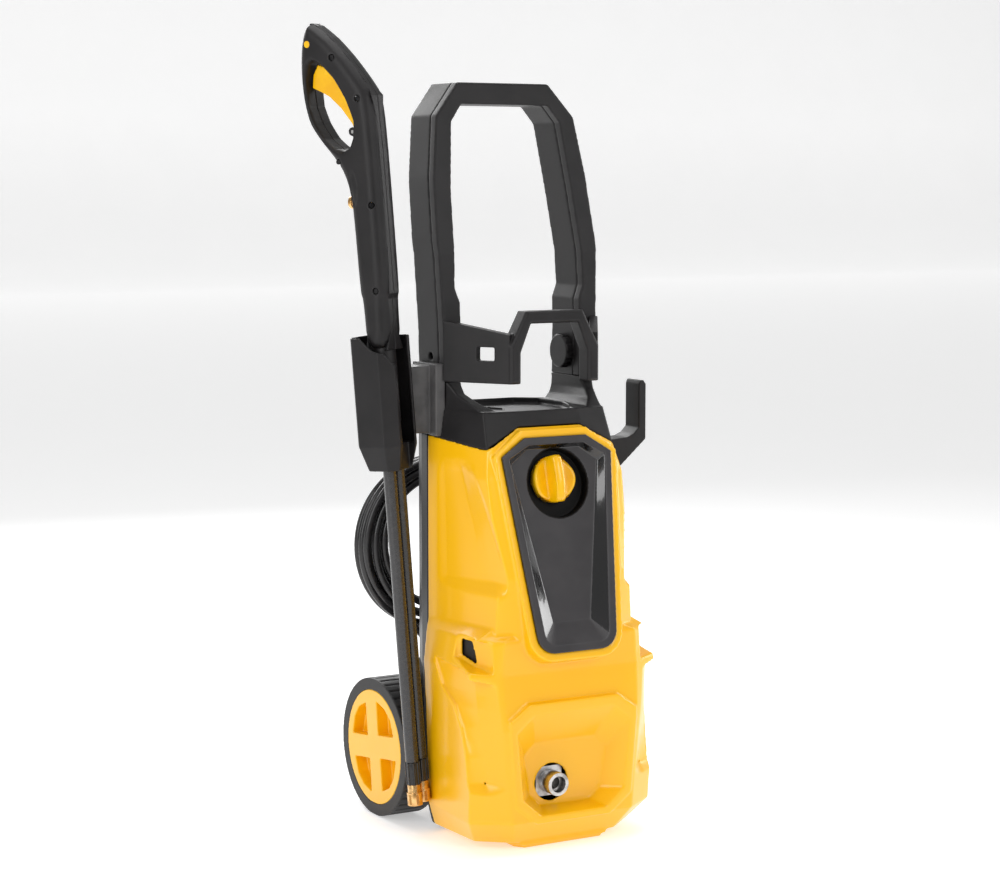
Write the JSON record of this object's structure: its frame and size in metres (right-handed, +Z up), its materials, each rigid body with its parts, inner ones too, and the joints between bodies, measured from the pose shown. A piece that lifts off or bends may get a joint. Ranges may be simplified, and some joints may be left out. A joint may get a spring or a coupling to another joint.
{
  "type": "pressure washer",
  "caption": "Upright electric pressure washer on two wheels, with a loop handle, a front console, a stored spray gun, two lances and a coiled mains cord.",
  "frame": {"origin": "on the floor, on the middle plane, at the centre of the front foot's sole", "axes": "+Z up, -Y towards the front with the console, +X towards the side with the hose hook"},
  "size_m": [0.3952, 0.3303, 0.9243],
  "materials": {
    "yellow_plastic": "semi-gloss moulded",
    "black_plastic": "fine texture",
    "console_black": "gloss",
    "tyre_rubber": "hard plastic tread",
    "soft_black": "satin",
    "steel": "machined",
    "brass": "machined",
    "aluminium": "cast"
  },
  "bodies": {
    "casing": {"axle": "steel", "axle_spacers": "steel", "base_feet": "soft_black", "capacitor": "aluminium", "carry_bracket": "black_plastic", "console_panel": "console_black", "cord_coil": "soft_black", "cord_gland": "soft_black", "cord_hook": "black_plastic", "front_shell": "yellow_plastic", "handle_front": "black_plastic", "handle_rear": "black_plastic", "holder_block": "black_plastic", "inlet_filter": "steel", "lance_holder": "black_plastic", "mains_cord": "soft_black", "mains_plug": "soft_black", "motor_bearings": "steel", "motor_end_plates": "aluminium", "motor_stator": "steel", "plug_lead": "soft_black", "pressure_outlet": "brass", "pump_body": "black_plastic", "pump_head": "aluminium", "pump_pistons": "steel", "rear_cover": "black_plastic", "side_hook": "black_plastic", "switch_box": "black_plastic", "top_collar": "black_plastic", "vent_insert_left": "black_plastic", "vent_insert_right": "black_plastic", "water_inlet": "steel"},
    "selector": {"selector_knob": "yellow_plastic", "knob_shaft": "steel"},
    "left_wheel": {"tyre_left": "tyre_rubber", "wheel_hub_left": "yellow_plastic"},
    "right_wheel": {"tyre_right": "tyre_rubber", "wheel_hub_right": "yellow_plastic"},
    "left_clamp": {"clamp_knob_left": "black_plastic"},
    "right_clamp": {"clamp_knob_right": "black_plastic"},
    "rotor": {"motor_rotor": "steel", "motor_shaft": "steel", "motor_fan": "black_plastic", "swash_plate": "steel"},
    "gun": {"gun_shell_left": "black_plastic", "gun_shell_right": "black_plastic", "gun_trigger_pin": "steel", "gun_valve": "brass", "gun_spring": "steel", "gun_nose": "black_plastic", "gun_screws": "steel"},
    "trigger": {"gun_trigger": "yellow_plastic"},
    "lock_button": {"gun_lock_button": "yellow_plastic"},
    "front_lance": {"lance_tube_front": "soft_black", "lance_grip_front": "black_plastic", "lance_fitting_front": "brass"},
    "rear_lance": {"lance_tube_rear": "soft_black", "lance_grip_rear": "black_plastic", "lance_fitting_rear": "brass"}
  },
  "joints": [
    {"name": "left_wheel_spin", "type": "hinge", "parent": "casing", "child": "left_wheel", "pos_m": [-0.109, 0.1857, 0.082], "axis": [1, 0, 0], "continuous": true},
    {"name": "right_wheel_spin", "type": "hinge", "parent": "casing", "child": "right_wheel", "pos_m": [0.109, 0.1857, 0.082], "axis": [1, 0, 0], "continuous": true},
    {"name": "selector_turn", "type": "hinge", "parent": "casing", "child": "selector", "pos_m": [0, -0.01798, 0.41667], "axis": [0, -0.9751, 0.2215], "range_deg": [-90, 0]},
    {"name": "left_clamp_turn", "type": "hinge", "parent": "casing", "child": "left_clamp", "pos_m": [-0.074, 0.1, 0.55], "axis": [1, 0, 0], "continuous": true},
    {"name": "right_clamp_turn", "type": "hinge", "parent": "casing", "child": "right_clamp", "pos_m": [0.074, 0.1, 0.55], "axis": [1, 0, 0], "continuous": true},
    {"name": "motor_spin", "type": "hinge", "parent": "casing", "child": "rotor", "pos_m": [0, 0.05, 0.25], "axis": [0, 0, 1], "continuous": true},
    {"name": "gun_lift", "type": "slide", "parent": "casing", "child": "gun", "axis": [-0.0678, 0.0244, 0.9974], "range_m": [0, 0.16]},
    {"name": "trigger_pull", "type": "hinge", "parent": "gun", "child": "trigger", "pos_m": [-0.18484, 0.10273, 0.80312], "axis": [0.9051, 0.4221, 0.0512], "range_deg": [0, 8], "stiffness_Nm_per_rad": 0.9, "springref_deg": -5.73},
    {"name": "lock_push", "type": "slide", "parent": "gun", "child": "lock_button", "axis": [0.9051, 0.4221, 0.0512], "range_m": [0, 0.003]},
    {"name": "front_lance_lift", "type": "slide", "parent": "casing", "child": "front_lance", "axis": [-0.0678, 0.0244, 0.9974], "range_m": [0, 0.02]},
    {"name": "rear_lance_lift", "type": "slide", "parent": "casing", "child": "rear_lance", "axis": [-0.0678, 0.0244, 0.9974], "range_m": [0, 0.02]}
  ]
}
